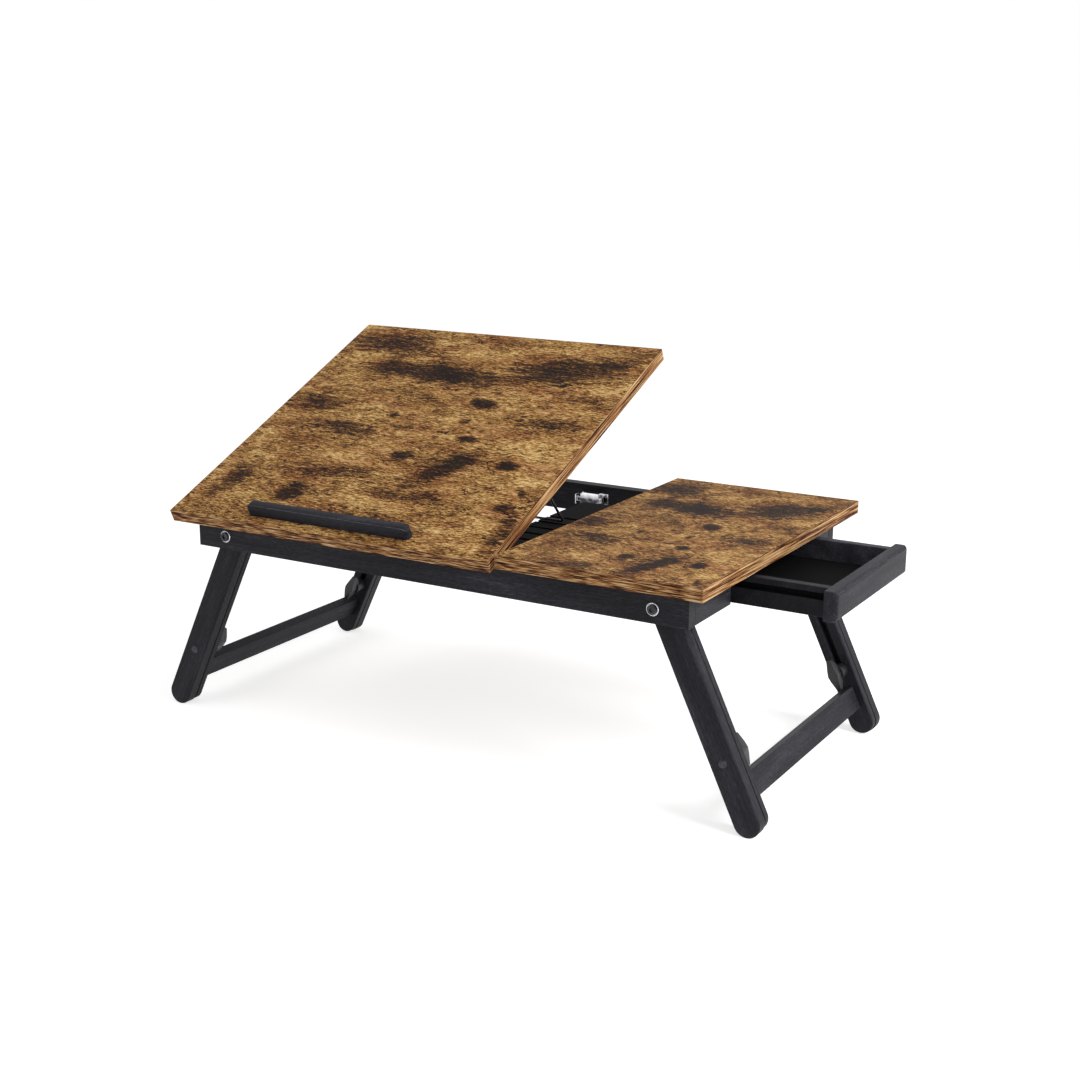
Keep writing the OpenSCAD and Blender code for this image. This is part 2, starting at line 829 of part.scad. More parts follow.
// A folded sheet-metal case, open at both ends, round a channel for the bolt
module latch_case() {
    air = bolt_w / 2 + slide_gap;
    top = latch_z + case_h / 2;
    fixed(steel) difference() {
        union() {
            box([case_x0 - flange_left, rear_in - sheet_t, latch_z - case_h / 2],
                [case_x1 + flange_right, rear_in, top]);
            box([case_x0, case_y, latch_z - case_h / 2], [case_x1, rear_in, top]);
            box([case_x0 + hood_in, case_y - hood_out, top - join], [case_x1, rear_in, top + hood_up]);
        }
        box([case_x0 - cut, bolt_y - air, latch_z - air], [case_x1 + cut, bolt_y + air, latch_z + air]);
        latch_screw_rods();
    }
}

module latch_screws() {
    fixed(steel) {
        latch_screw_rods();
        for (z = latch_screw_zs, x = latch_screw_xs)
            rod_y(latch_head_r, rear_in - sheet_t - latch_head_h, rear_in - sheet_t, x, z);
    }
}

// The square bolt, with a bevelled nose and a finger tab
module latch_bolt() {
    y0 = bolt_y - bolt_w / 2;
    reach = case_x1 + nose_out - tab_x;
    fixed(steel) {
        translate([tab_x, y0, latch_z - bolt_w / 2]) linear_extrude(bolt_w)
            polygon([[0, 0], [reach - nose_bevel, 0], [reach, nose_bevel], [reach, bolt_w],
                [0, bolt_w]]);
        box([tab_x - sheet_t, y0 - tab_out, latch_z - tab_h / 2],
            [tab_x, y0 + bolt_w, latch_z + tab_h / 2]);
    }
}

// An angle plate under the tilting top, with a square hole for the bolt
module latch_keeper() {
    y0 = bolt_y - keeper_w / 2;
    y1 = bolt_y + keeper_w / 2;
    air = bolt_w / 2 + keeper_air;
    tilted(steel) difference() {
        union() {
            box([keeper_x - keeper_len, y0, top_low - sheet_t], [keeper_x + sheet_t, y1, top_low]);
            box([keeper_x, y0, latch_z - bolt_w / 2 - keeper_drop], [keeper_x + sheet_t, y1, top_low]);
        }
        box([keeper_x - cut, bolt_y - air, latch_z - air],
            [keeper_x + sheet_t + cut, bolt_y + air, latch_z + air]);
        keeper_screw_rods();
    }
}

module keeper_screw_rods() {
    for (share = [1 / 3, 3 / 4])
        screw_up(keeper_x - keeper_len * share, bolt_y, top_low - sheet_t, small_screw, small_screw_r);
}

module keeper_screws() {
    tilted(steel) keeper_screw_rods();
}

// ---- Pivots of the legs ----

pivot_xs = [left_pivot_x, right_pivot_x];
nut_y = outer_y + outer_t + slide_gap;

module pivot_rings() {
    fixed(steel) both() for (x = pivot_xs) difference() {
        translate([x, front_out, pivot_z]) rotate([90, 0, 0])
            cylinder(r1 = ring_r, r2 = ring_r - ring_t / 2, h = ring_t);
        rod_y(pivot_r, front_out - ring_t - cut, front_out + cut, x, pivot_z);
    }
}

module pivot_bolts() {
    head_y = front_out - ring_t - head_h;
    fixed(black_plastic) both() for (x = pivot_xs) difference() {
        union() {
            rod_y(pivot_r, front_out - ring_t, nut_y + nut_t + bolt_out, x, pivot_z);
            rod_y(head_r, head_y, front_out - ring_t, x, pivot_z);
        }
        translate([x, head_y - cut, pivot_z]) rotate([-90, 0, 0])
            cylinder(r = socket_r, h = cut + head_h * socket_depth, $fn = 6);
    }
}

module pivot_washers() {
    fixed(steel) both() for (x = pivot_xs) difference() {
        rod_y(washer_r, front_in, outer_y - slide_gap / 2, x, pivot_z);
        rod_y(pivot_r, front_in - cut, outer_y + cut, x, pivot_z);
    }
}

module pivot_nuts() {
    fixed(steel) both() for (x = pivot_xs) difference() {
        translate([x, nut_y, pivot_z]) rotate([-90, 0, 0])
            cylinder(r = nut_af / 2 / cos(30), h = nut_t, $fn = 6);
        rod_y(pivot_r, nut_y - cut, nut_y + nut_t + cut, x, pivot_z);
    }
}

// ---- Drawer ----

// The outline of a board of this width and the front's thickness, rounded outside
module front_outline(width) {
    square([front_t - front_r, width]);
    translate([0, front_r]) square([front_t, width - 2 * front_r]);
    for (y = [front_r, width - front_r])
        translate([front_t - front_r, y]) circle(front_r);
}

module drawer_front() {
    drawn(black_wood) translate([front_x, front_y0, under - front_drop - front_h]) intersection() {
        linear_extrude(front_h) front_outline(front_w);
        translate([0, front_w, 0]) rotate([90, 0, 0]) linear_extrude(front_w) front_outline(front_h);
    }
}

// A side of the drawer, with the groove that rides on a tongue
module drawer_side() {
    difference() {
        box([box_x0, box_y0, side_low], [front_x, box_y0 + side_t, side_top]);
        box([box_x0 - cut, box_y0 - cut, groove_top - groove_h],
            [front_x + cut, box_y0 + groove_d, groove_top]);
    }
}

module drawer_side_front() {
    drawn(black_wood) drawer_side();
}

module drawer_side_rear() {
    drawn(black_wood) rear() drawer_side();
}

module drawer_back() {
    drawn(black_wood) box([box_x0, box_y0 + side_t, side_low],
        [box_x0 + back_t, box_y1 - side_t, side_top]);
}

module drawer_bottom() {
    drawn(black_wood) box([box_x0 + back_t, box_y0 + side_t, bottom_z],
        [front_x, box_y1 - side_t, bottom_z + bottom_t]);
}

// ---- Legs ----

module outer_bar() {
    difference() {
        union() {
            for (z = [0, -leg_len])
                eased_disc(leg_w / 2, outer_y, outer_y + outer_t, z, bar_ease);
            eased_bar(leg_w, outer_y, outer_y + outer_t, 0, -leg_len, bar_ease);
        }
        rod_y(pivot_r + play, outer_y - cut, outer_y + outer_t + cut);
        rod_y(clamp_r, outer_y - cut, outer_y + outer_t + cut, 0, -clamp_at);
    }
}

module inner_bar() {
    slot_top = -clamp_at + travel;
    difference() {
        union() {
            eased_disc(leg_w / 2, inner_y, inner_y + inner_t, -inner_len, bar_ease);
            eased_bar(leg_w, inner_y, inner_y + inner_t, -inner_top, -inner_len, bar_ease);
        }
        box([-slot_r, inner_y - cut, -clamp_at], [slot_r, inner_y + inner_t + cut, slot_top]);
        for (z = [slot_top, -clamp_at])
            rod_y(slot_r, inner_y - cut, inner_y + inner_t + cut, 0, z);
        crossbar_screw_pair();
    }
}

module crossbar_screw_pair() {
    for (s = [-1, 1])
        translate([0, inner_y, -crossbar_at + s * crossbar_w / 4])
            rotate([-90, 0, 0]) screw_up(0, 0, 0, inner_t + crossbar_bite);
}

module crossbar() {
    difference() {
        box([-crossbar_t / 2, knob_y, -crossbar_at - crossbar_w / 2],
            [crossbar_t / 2, top_depth - knob_y, -crossbar_at + crossbar_w / 2]);
        both() crossbar_screw_pair();
    }
}

module clamp_bolt() {
    rod_y(clamp_r, outer_y, knob_y + knob_base_h, 0, -clamp_at);
    translate([0, outer_y, -clamp_at]) rotate([90, 0, 0])
        cylinder(r1 = button_r, r2 = button_r - button_h, h = button_h);
}

// A round base and a flared wing, on the clamp bolt's end
module wing_knob() {
    base_y = knob_y + slide_gap;
    half = wing_len / 2;
    translate([0, 0, -clamp_at]) difference() {
        union() {
            rod_y(knob_r, base_y, base_y + knob_base_h);
            intersection() {
                translate([0, base_y + knob_h, 0]) rotate([90, 0, 0])
                    linear_extrude(knob_h - knob_base_h + join)
                    polygon([[-wing_tip / 2, half], [wing_tip / 2, half], [wing_mid / 2, 0],
                        [wing_tip / 2, -half], [-wing_tip / 2, -half], [-wing_mid / 2, 0]]);
                translate([-wing_mid / 2, base_y, 0]) rotate([90, 0, 90]) linear_extrude(wing_mid)
                    polygon([[0, -wing_root / 2], [knob_base_h - join, -wing_root / 2],
                        [wing_low, -half], [wing_high, -half], [knob_h, -wing_crown / 2],
                        [knob_h, wing_crown / 2], [wing_high, half], [wing_low, half],
                        [knob_base_h - join, wing_root / 2], [0, wing_root / 2]]);
            }
        }
        rod_y(clamp_r + play, base_y - cut, base_y + knob_base_h);
    }
}

module right_outer_front() {
    leg(1, black_wood) outer_bar();
}
module right_outer_rear() {
    leg(1, black_wood) rear() outer_bar();
}
module right_clamp_bolts() {
    leg(1, black_wood) both() clamp_bolt();
}
module right_inner_front() {
    leg(1, black_wood) inner_bar();
}
module right_inner_rear() {
    leg(1, black_wood) rear() inner_bar();
}
module right_crossbar() {
    leg(1, black_wood) crossbar();
}
module right_crossbar_screws() {
    leg(1, steel) both() crossbar_screw_pair();
}
module right_knob_front() {
    leg(1, black_plastic) wing_knob();
}
module right_knob_rear() {
    leg(1, black_plastic) rear() wing_knob();
}

module left_outer_front() {
    leg(-1, black_wood) outer_bar();
}
module left_outer_rear() {
    leg(-1, black_wood) rear() outer_bar();
}
module left_clamp_bolts() {
    leg(-1, black_wood) both() clamp_bolt();
}
module left_inner_front() {
    leg(-1, black_wood) inner_bar();
}
module left_inner_rear() {
    leg(-1, black_wood) rear() inner_bar();
}
module left_crossbar() {
    leg(-1, black_wood) crossbar();
}
module left_crossbar_screws() {
    leg(-1, steel) both() crossbar_screw_pair();
}
module left_knob_front() {
    leg(-1, black_plastic) wing_knob();
}
module left_knob_rear() {
    leg(-1, black_plastic) rear() wing_knob();
}

front_rail();
rear_rail();
left_end_board();
right_end_block_front();
right_end_block_rear();
fixed_top();
rack_strip();
rack_right();
rack_left();
rack_screws();
runner_front();
runner_rear();
tongue_front();
tongue_rear();
runner_screws();
rail_hinge_leaves();
rail_leaf_screws();
hinge_pins();
latch_case();
latch_screws();
pivot_bolts();
pivot_rings();
pivot_washers();
pivot_nuts();
tilt_top();
ledge_bar();
ledge_screws();
top_hinge_leaves();
top_leaf_screws();
prop_clips();
clip_screws();
latch_keeper();
keeper_screws();
prop_wire();
latch_bolt();
drawer_front();
drawer_side_front();
drawer_side_rear();
drawer_back();
drawer_bottom();
right_outer_front();
right_outer_rear();
right_clamp_bolts();
right_inner_front();
right_inner_rear();
right_crossbar();
right_crossbar_screws();
right_knob_front();
right_knob_rear();
left_outer_front();
left_outer_rear();
left_clamp_bolts();
left_inner_front();
left_inner_rear();
left_crossbar();
left_crossbar_screws();
left_knob_front();
left_knob_rear();
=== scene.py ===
"""A folding laptop table with a tilting top and a side drawer, finished round its CAD part.

Boards and bars get softly eased edges, and every finish is worked out from what the real one is:
printed rustic board, black-stained wood, moulded plastic, blackened, zinc-plated and chromed steel.
Some colours also carry painted light and shade: a painted reflection on the chrome, painted
highlights on some edges, and painted shade in grooves, seams, the drawer and the racks.
"""

import json
import math

import bmesh
import bpy
from mathutils import Euler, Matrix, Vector

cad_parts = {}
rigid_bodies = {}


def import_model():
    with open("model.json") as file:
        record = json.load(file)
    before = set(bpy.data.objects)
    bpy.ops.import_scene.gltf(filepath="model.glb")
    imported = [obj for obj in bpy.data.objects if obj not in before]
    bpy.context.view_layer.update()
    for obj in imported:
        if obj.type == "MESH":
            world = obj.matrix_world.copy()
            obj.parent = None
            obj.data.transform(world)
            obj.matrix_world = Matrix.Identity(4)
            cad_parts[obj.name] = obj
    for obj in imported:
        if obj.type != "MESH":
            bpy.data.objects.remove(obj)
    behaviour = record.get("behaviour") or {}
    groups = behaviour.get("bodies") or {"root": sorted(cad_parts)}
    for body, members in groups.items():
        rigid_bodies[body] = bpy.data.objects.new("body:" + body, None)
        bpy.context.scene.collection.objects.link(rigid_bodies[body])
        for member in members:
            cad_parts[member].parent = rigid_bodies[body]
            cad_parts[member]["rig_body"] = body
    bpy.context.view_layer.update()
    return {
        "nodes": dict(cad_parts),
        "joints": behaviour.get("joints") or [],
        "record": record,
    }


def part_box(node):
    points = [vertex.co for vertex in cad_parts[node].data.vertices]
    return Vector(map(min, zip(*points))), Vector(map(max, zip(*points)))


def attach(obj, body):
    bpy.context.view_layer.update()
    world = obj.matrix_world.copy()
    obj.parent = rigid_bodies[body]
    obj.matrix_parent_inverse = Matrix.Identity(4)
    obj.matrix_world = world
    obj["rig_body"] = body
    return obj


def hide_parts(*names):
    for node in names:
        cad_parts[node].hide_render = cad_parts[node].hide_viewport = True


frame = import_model()

MM = 0.001
TO_MM = 1 / MM

# Camera: its place from the fixed top's front right upper corner, angles in degrees, film in mm
CAMERA_FROM_CORNER = Vector((513.2, -1123.2, 359.8)) * MM
CAMERA_TURN = 30.47
CAMERA_DIP = 14.65
CAMERA_ROLL = 0.24
SENSOR = 36.0
LENS = 54.75

# Edge easing, in metres
BOARD_EASE = 0.7 * MM
BAR_EASE = 0.8 * MM
EDGE_HIGHLIT_EASE = 1.3 * MM
METAL_EASE = 0.35 * MM

# Corners nearer than this are one, and faces that turn by less than FLAT_TURN are one face, while
# edges that turn by more than SHARP_TURN are eased
SAME_PLACE = 0.001 * MM
FLAT_TURN = math.radians(0.5)
SHARP_TURN = math.radians(40)

# How deep below a piece's own box a groove's faces lie at least, in metres
GROOVE_DEPTH = 0.3 * MM

# How far the painted shade line between two bars reaches to each side of their joint, in metres
SEAM = 1.0 * MM

# Smoky places of the print, in mm from the tilting top's front left corner:
# x, y, half length, half width, turn in degrees, strength
SMOKE = (
    (60, 316, 66, 25, -4, 0.8),
    (135, 270, 108, 19, -3, 1.0),
    (272, 290, 74, 30, 14, 1.0),
    (335, 326, 36, 14, 8, 0.5),
    (42, 200, 44, 18, 2, 0.8),
    (98, 160, 48, 13, -6, 0.9),
    (30, 58, 14, 34, -14, 0.75),
    (122, 90, 52, 13, 6, 0.8),
    (106, 52, 18, 15, 55, 1.0),
    (239, 120, 48, 15, 54, 1.0),
    (218, 70, 44, 10, 4, 0.75),
    (345, 40, 12, 38, 4, 0.9),
    (310, 204, 36, 9, 4, 0.65),
    (210, 36, 46, 8, 2, 0.4),
    (325, 248, 30, 8, 3, 0.5),
    (180, 16, 60, 8, 0, 0.45),
)
# Its knots, in the same terms
KNOTS = (
    (219, 227, 18, 9, -8, 1.0),
    (216, 194, 8, 5, 0, 0.9),
    (234, 166, 13, 6.5, 0, 1.0),
    (298, 133, 13, 8, 0, 1.0),
    (327, 73, 13, 8, 0, 0.95),
    (184, 129, 14, 8, 5, 0.95),
    (135, 191, 6, 5, 0, 0.8),
    (334, 96, 4, 9, 35, 0.6),
)
# How much smoke, knots and cracks darken the print's tone
SMOKE_DEPTH = 0.5
KNOT_DEPTH = 0.7
CRACK_DEPTH = 0.45

# The fixed top carries the same print, squeezed along X and drawn out along Y
WHOLE_PRINT = {"Scale": (1, 1, 1)}
SQUEEZED_PRINT = {"Scale": (1.77, 0.76, 1), "Location": (14, 88, 0)}

# The print's mean tone on each top, and its edge band's streaks in mm: along X, along Y and through the
# thickness. The real band's lines are about 0.3 mm thick, too fine to show, so these are thicker.
FIXED_TONE = 0.52
FIXED_BAND = (22, 60, 0.85)
TILT_TONE = 0.59
TILT_BAND = (22, 80, 1.3)

# How far the print's large forms stray from their places along X and Y, and over what length, in mm
STRAY = (30, 16, 0)
STRAY_LENGTH = 22

# Layers of the print's grain, from clouds to dashes: length and width in mm, detail, weight. The real
# dots and dashes are a few tenths of a mm wide, too fine to show, so the last two layers are coarser.
GRAIN_LAYERS = (
    (95, 36, 5.0, 1.15),
    (34, 9, 5.0, 0.9),
    (14, 1.8, 3.0, 1.4),
    (2.4, 1.2, 1.0, 0.75),
    (6, 0.85, 2.0, 2.3),
)
# Layers up to this length lie on the board itself, so that nothing squeezes or bends them
FINE_LENGTH = 10

# Pieces cut from thin black-faced board, whose near black is painted darker still as painted shade
HARDBOARD = ("drawer_bottom", "rack_right", "rack_left", "rack_strip")

# Pieces whose sawn grooves get painted shade, and pieces whose edges get a painted highlight
GROOVE_SHADED = ("drawer_side_front", "drawer_side_rear")
EDGE_HIGHLIT = ("ledge_bar",)

# Painted light and shade: how much lighter some pieces' colour is painted than the rest, or darker
# where under 1
PAINTED_LIGHT_SCALE = {"rear_rail": 0.55, "drawer_side_front": 0.5, "drawer_side_rear": 1.8}

# Chromed pieces whose eased edges take a painted highlight
BRIGHT_EDGED = ("pivot_rings", "latch_case", "latch_bolt", "latch_keeper")

# Studio: places and sizes in metres, powers in watts, and strengths, of which 1 is white
LIT_MIDDLE = Vector((0, 0, 0.2))
KEY_AT, KEY_SIZE, KEY_POWER = Vector((1.9, -0.2, 1.4)), 1.2, 37
FILL_AT, FILL_SIZE, FILL_POWER = Vector((-1.2, -1.8, 1.4)), 1.4, 5.5
WORLD_LIGHT = 0.4
FLOOR_LIFT = 0.65
FLOOR_REACH = 60.0
SIGHT = 200.0


def linear(hex_colour):
    """A hex sRGB colour as linear RGBA: each part is divided by 12.92 up to 0.04045, and above that it
    is ((c + 0.055) / 1.055) ^ 2.4."""
    parts = [int(hex_colour[i : i + 2], 16) / 255 for i in (1, 3, 5)]
    return [c / 12.92 if c <= 0.04045 else ((c + 0.055) / 1.055) ** 2.4 for c in parts] + [1]


def add(tree, kind, inputs=(), stops=(), out=0, **settings):
    """One shader node with its settings, values or links by input name or number, and ramp stops."""
    node = tree.nodes.new("ShaderNode" + kind)
    for name, value in settings.items():
        setattr(node, name, value)
    for name, value in dict(inputs).items():
        if isinstance(value, bpy.types.NodeSocket):
            tree.links.new(value, node.inputs[name])
        else:
            node.inputs[name].default_value = value
    if stops:
        ramp = node.color_ramp.elements
        ramp.remove(ramp[0])
        ramp[0].position, ramp[0].color = stops[0]
        for place, colour in stops[1:]:
            ramp.new(place).color = colour
    return node.outputs[out] if node.outputs else None


def material(name):
    """An empty node material and its tree."""
    made = bpy.data.materials.new(name)
    made.use_nodes = True
    made.node_tree.nodes.clear()
    return made, made.node_tree


def finish_material(tree, **inputs):
    """Puts the Principled shader on the material's output."""
    names = {k.replace("_", " "): v for k, v in inputs.items()}
    shader = add(tree, "BsdfPrincipled", names)
    add(tree, "OutputMaterial", {"Surface": shader})


def blotches(tree, at, places, ragged):
    """The darkest of several soft ovals: each is 1 at its middle and falls smoothly to 0 at its rim,
    which ragged moves in and out."""
    total = None
    for x, y, half_length, half_width, turn, strength in places:
        angle = -math.radians(turn)
        size = Vector((1 / half_length, 1 / half_width, 0))
        centre = Euler((0, 0, angle)).to_matrix() @ Vector((x, y, 0))
        placing = {"Vector": at, "Rotation": (0, 0, angle), "Location": -centre}
        turned = add(tree, "Mapping", placing)
        scaled = add(tree, "VectorMath", {0: turned, 1: size}, operation="MULTIPLY")
        radius = add(tree, "VectorMath", {0: scaled}, out=1, operation="LENGTH")
        radius = add(tree, "Math", {0: radius, 1: ragged})
        oval = add(
            tree,
            "MapRange",
            {"Value": radius, "From Min": 1.25, "From Max": 0.3, "To Max": strength},
            interpolation_type="SMOOTHSTEP",
        )
        total = oval if total is None else add(tree, "Math", {0: total, 1: oval}, operation="MAXIMUM")
    return total


def stretched_noise(tree, at, sizes, detail, roughness):
    """Noise whose forms are about sizes mm long in X, Y and Z."""
    stretch = [1 / size for size in sizes]
    scaled = add(tree, "VectorMath", {0: at, 1: stretch}, operation="MULTIPLY")
    inputs = {"Vector": scaled, "Scale": 1, "Detail": detail, "Roughness": roughness}
    return add(tree, "TexNoise", inputs)


def streaks(tree, at, length, width, detail=3.0, roughness=0.55):
    """Noise drawn out along X: about length by width, in mm."""
    return stretched_noise(tree, at, (length, width, width), detail, roughness)


def mixed(tree, factor, first, second, blend_type="MIX"):
    """Two colours mixed by a factor."""
    return add(
        tree, "Mix", {0: factor, 6: first, 7: second}, out=2, data_type="RGBA", blend_type=blend_type
    )


def rustic_board(name, origin, tilt, print_map, mean_tone, band_sizes):
    """Melamine-faced particle board with a rustic wood print, edge-banded: a satin printed skin, ochre
    and brown with smoky patches, knots and short cracks, and reddish streaks along its edges. Every
    layer of the print adds to one tone, and a ramp makes it colour, so the dashes show in the smoke.
    origin is the board's front left corner in metres, and tilt its turn about X."""
    made, tree = material(name)
    turn = Euler((-tilt, 0, 0))
    place = turn.to_matrix() @ (origin * TO_MM)
    coords = add(tree, "TexCoord", out=3)
    laid_flat = {"Vector": coords, "Scale": [TO_MM] * 3, "Rotation": turn, "Location": -place}
    board = add(tree, "Mapping", laid_flat)
    facing = add(tree, "TexCoord", out=1)
    facing = add(tree, "Mapping", {"Vector": facing, "Rotation": turn}, vector_type="VECTOR")
    up = add(tree, "SeparateXYZ", {0: facing}, out=2)
    up = add(tree, "Math", {0: up}, operation="ABSOLUTE")
    edge = add(tree, "MapRange", {"Value": up, "From Min": 0.75, "From Max": 0.45})

    close = add(tree, "VectorMath", {0: board, 1: (1, 1, 0)}, operation="MULTIPLY")
    flat = add(tree, "Mapping", {"Vector": close, **print_map})
    wander = add(tree, "TexNoise", {"Vector": flat, "Scale": 1 / STRAY_LENGTH, "Detail": 4.0}, out=1)
    wander = add(tree, "VectorMath", {0: wander, 1: (0.5, 0.5, 0.5)}, operation="SUBTRACT")
    wander = add(tree, "VectorMath", {0: wander, 1: STRAY}, operation="MULTIPLY")
    warped = add(tree, "VectorMath", {0: flat, 1: wander})
    ragged = streaks(tree, flat, 30, 4.5, 6.0, 0.65)
    smoke_rim = add(tree, "MapRange", {"Value": ragged, "To Min": -1.4, "To Max": 1.4})
    knot_rim = add(tree, "MapRange", {"Value": ragged, "To Min": -0.5, "To Max": 0.5})

    tone = mean_tone - sum(weight for length, width, detail, weight in GRAIN_LAYERS) / 2
    for length, width, detail, weight in GRAIN_LAYERS:
        layer = streaks(tree, warped if length > FINE_LENGTH else close, length, width, detail, 0.6)
        tone = add(tree, "Math", {0: layer, 1: weight, 2: tone}, operation="MULTIPLY_ADD")
    smoke = blotches(tree, flat, SMOKE, smoke_rim)
    tone = add(tree, "Math", {0: smoke, 1: -SMOKE_DEPTH, 2: tone}, operation="MULTIPLY_ADD")
    knots = blotches(tree, flat, KNOTS, knot_rim)
    tone = add(tree, "Math", {0: knots, 1: -KNOT_DEPTH, 2: tone}, operation="MULTIPLY_ADD")

    crack = streaks(tree, warped, 30, 9, 2.0, 0.5)
    crack = add(tree, "Math", {0: crack, 1: 0.5}, operation="SUBTRACT")
    crack = add(tree, "Math", {0: crack}, operation="ABSOLUTE")
    crack = add(tree, "MapRange", {"Value": crack, "From Min": 0.02, "From Max": 0.008})
    where = streaks(tree, flat, 30, 18, 2.0)
    where = add(tree, "MapRange", {"Value": where, "From Min": 0.53, "From Max": 0.58})
    crack = add(tree, "Math", {0: crack, 1: where}, operation="MULTIPLY")
    tone = add(tree, "Math", {0: crack, 1: -CRACK_DEPTH, 2: tone}, operation="MULTIPLY_ADD")

    printed = add(
        tree,
        "ValToRGB",
        {"Fac": tone},
        stops=(
            (0.04, linear("#1f1714")),
            (0.20, linear("#3f2d25")),
            (0.36, linear("#694830")),
            (0.52, linear("#94693f")),
            (0.66, linear("#b98c52")),
            (0.82, linear("#d6ae70")),
            (1.0, linear("#efd3a2")),
        ),
    )
    red = streaks(tree, warped, 70, 24, 4.0)
    red = add(tree, "MapRange", {"Value": red, "From Min": 0.44, "From Max": 0.66})
    hue = mixed(tree, red, linear("#fffae9"), linear("#e0c6bd"))
    printed = mixed(tree, 1.0, printed, hue, "MULTIPLY")

    band = stretched_noise(tree, board, band_sizes, 4.0, 0.65)
    band = add(
        tree,
        "ValToRGB",
        {"Fac": band},
        stops=(
            (0.41, linear("#1e0f0b")),
            (0.455, linear("#5a3220")),
            (0.50, linear("#8f5f3a")),
            (0.55, linear("#c0905a")),
            (0.62, linear("#e4c092")),
        ),
    )
    colour = mixed(tree, edge, printed, band)

    # The eased edge between skin and band, darkened to a thin line
    arris = add(tree, "MapRange", {"Value": up, "From Min": 0.99, "From Max": 0.9})
    below = add(tree, "MapRange", {"Value": up, "From Min": 0.15, "From Max": 0.4})
    arris = add(tree, "Math", {0: arris, 1: below}, operation="MULTIPLY")
    colour = mixed(tree, arris, colour, linear("#4a2f20"))

    roughness = add(tree, "MapRange", {"Value": layer, "To Min": 0.55, "To Max": 0.75})
    bump = add(tree, "Bump", {"Strength": 0.35, "Distance": 0.1 * MM, "Height": layer})
    finish_material(tree, Base_Color=colour, Roughness=roughness, Normal=bump, Specular_IOR_Level=0.08)
    return made


def seam_shade(tree, planes):
    """1 in a thin band on both sides of each plane across Y, where two bars bear on each other, marking
    the painted shade in the crack between them, and 0 elsewhere and on the bearing faces themselves."""
    coords = add(tree, "TexCoord", out=3)
    place = add(tree, "SeparateXYZ", {0: coords}, out=1)
    facing = add(tree, "SeparateXYZ", {0: add(tree, "TexCoord", out=1)}, out=1)
    facing = add(tree, "Math", {0: facing}, operation="ABSOLUTE")
    side = add(tree, "MapRange", {"Value": facing, "From Min": 0.95, "From Max": 0.85})
    nearest = 1.0
    for plane in planes:
        away = add(tree, "Math", {0: place, 1: plane}, operation="SUBTRACT")
        away = add(tree, "Math", {0: away}, operation="ABSOLUTE")
        nearest = add(tree, "Math", {0: away, 1: nearest}, operation="MINIMUM")
    crack = add(tree, "MapRange", {"Value": nearest, "From Min": SEAM, "From Max": SEAM / 2})
    return add(tree, "Math", {0: crack, 1: side}, operation="MULTIPLY")


def black_wood(name, turn, seams, painted_light_scale):
    """Pine bars and boards under a black stain and a thin satin lacquer: near black, with the grain's
    long fine lines showing as slightly lighter and darker streaks along each piece, and a line of
    painted shade at each seam between two bars. turn lays the grain along X, seams are the joints'
    places along
    Y, and the last argument scales the colour as painted light above 1 and painted shade under 1."""
    made, tree = material(name)
    coords = add(tree, "TexCoord", out=3)
    along = add(tree, "Mapping", {"Vector": coords, "Scale": [TO_MM] * 3, "Rotation": turn})
    grain = streaks(tree, along, 60, 1.6, 4.0, 0.65)
    pores = streaks(tree, along, 5, 0.9, 2.0, 0.5)
    broad = streaks(tree, along, 120, 14, 2.0, 0.5)
    both = add(tree, "Math", {0: grain, 1: pores}, operation="ADD")
    both = add(tree, "Math", {0: both, 1: broad}, operation="ADD")
    both = add(tree, "Math", {0: both, 1: 3}, operation="DIVIDE")
    colour = add(
        tree,
        "ValToRGB",
        {"Fac": both},
        stops=(
            (0.36, linear("#18181c")),
            (0.46, linear("#242429")),
            (0.56, linear("#323238")),
            (0.66, linear("#4a4a52")),
        ),
    )
    # Painted light and shade: some pieces' colour scaled lighter or darker
    colour = mixed(tree, 1.0, colour, (painted_light_scale, painted_light_scale, painted_light_scale, 1), "MULTIPLY")
    if seams:
        # Painted shade in the crack between two bars
        colour = mixed(tree, seam_shade(tree, seams), colour, linear("#08080a"))
    roughness = add(tree, "MapRange", {"Value": grain, "To Min": 0.38, "To Max": 0.62})
    bump = add(tree, "Bump", {"Strength": 0.4, "Distance": 0.15 * MM, "Height": both})
    finish_material(tree, Base_Color=colour, Roughness=roughness, Normal=bump, Specular_IOR_Level=0.1)
    return made


def black_hardboard_painted_shade():
    """Thin fibreboard with a black printed skin, for the drawer's bottom and the racks, painted darker
    than its own black as painted shade; its colour also paints the shade in the drawer sides' grooves:
    flat, dull.
    """
    made, tree = material("black faced hardboard, painted shade")
    coords = add(tree, "TexCoord", out=3)
    fibre = add(tree, "TexNoise", {"Vector": coords, "Scale": 1 / (2.5 * MM), "Detail": 3.0})
    colour = add(
        tree, "ValToRGB", {"Fac": fibre}, stops=((0.35, linear("#09090a")), (0.65, linear("#101012")))
    )
    finish_material(tree, Base_Color=colour, Roughness=0.8, Specular_IOR_Level=0.06)
    return made


def black_edge_highlight_finish():
    """Painted highlight along the eased edges of black-stained wood: a light grey line, as where an
    edge catches the light.
    """
    made, tree = material("black stained edge, painted highlight")
    coords = add(tree, "TexCoord", out=3)
    worn = add(tree, "TexNoise", {"Vector": coords, "Scale": 1 / (9 * MM), "Detail": 3.0})
    colour = add(
        tree, "ValToRGB", {"Fac": worn}, stops=((0.35, linear("#58585c")), (0.65, linear("#a2a2a8")))
    )
    finish_material(tree, Base_Color=colour, Roughness=0.5, Specular_IOR_Level=0.2)
    return made


